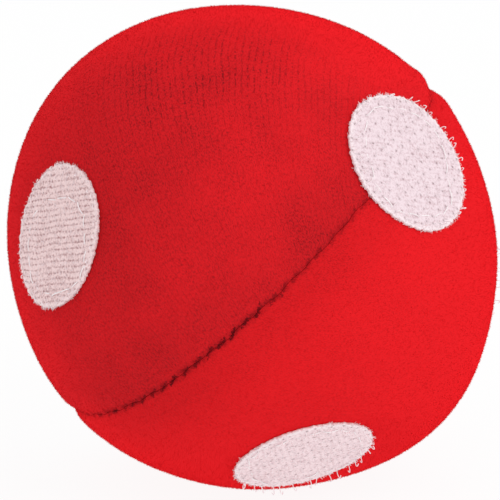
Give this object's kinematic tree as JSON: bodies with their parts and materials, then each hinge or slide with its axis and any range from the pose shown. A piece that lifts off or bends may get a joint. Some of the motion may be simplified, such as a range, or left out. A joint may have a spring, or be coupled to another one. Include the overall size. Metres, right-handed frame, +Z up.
{
  "type": "hook and loop catch ball",
  "caption": "Soft stuffed catch ball in two sewn cups of red loop fabric, with flat coins of off-white hook tape sewn on to stick to loop pads.",
  "frame": {"origin": "centre of the pressed flat that the ball stands on", "axes": "+Z up, -Y towards the side that the picture shows, +X to the right in that view; the ball's seam axis leans in the XZ plane towards -X"},
  "size_m": [0.0811, 0.0798, 0.0795],
  "materials": {
    "loop_fabric": "brushed loop knit with a short fuzzy nap",
    "hook_nylon": "woven nylon hook tape, off-white",
    "white_thread": "white polyester sewing thread",
    "red_thread": "dark red polyester sewing thread",
    "fibre": "white polyester fibre filling"
  },
  "bodies": {
    "root": {"fibre_filling": "fibre", "cover_half_upper": "loop_fabric", "cover_half_lower": "loop_fabric", "seam_thread": "red_thread", "closing_thread": "red_thread", "hook_coin_right": "hook_nylon", "hook_coin_left": "hook_nylon", "hook_coin_low": "hook_nylon", "hook_coin_edge": "hook_nylon", "hook_coin_back": "hook_nylon", "hook_coin_top": "hook_nylon", "coin_stitching_right": "white_thread", "coin_stitching_left": "white_thread", "coin_stitching_low": "white_thread", "coin_stitching_edge": "white_thread", "coin_stitching_back": "white_thread", "coin_stitching_top": "white_thread"}
  },
  "joints": []
}
